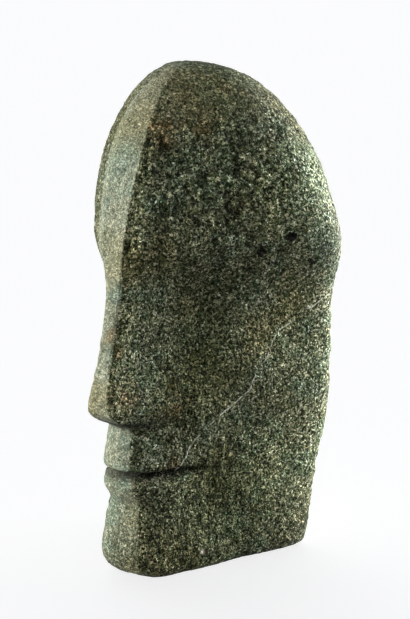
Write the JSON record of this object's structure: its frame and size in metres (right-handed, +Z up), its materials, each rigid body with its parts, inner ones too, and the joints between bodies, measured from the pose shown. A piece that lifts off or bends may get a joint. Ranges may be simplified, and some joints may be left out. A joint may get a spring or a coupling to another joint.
{
  "type": "carved stone face",
  "caption": "Tall carved stone face in grey-green stone, with a flat band down forehead and nose, blank eye hollows, domed top and flat sawn underside.",
  "frame": {"origin": "on the sawn underside, under the middle of the stone's width and depth", "axes": "+Z up, -Y the way the face looks, +X to the right seen from the front"},
  "size_m": [0.137, 0.113, 0.24],
  "materials": {
    "grey_green_stone": "pecked and worn, matt"
  },
  "bodies": {
    "root": {"carved_stone_face": "grey_green_stone"}
  },
  "joints": []
}
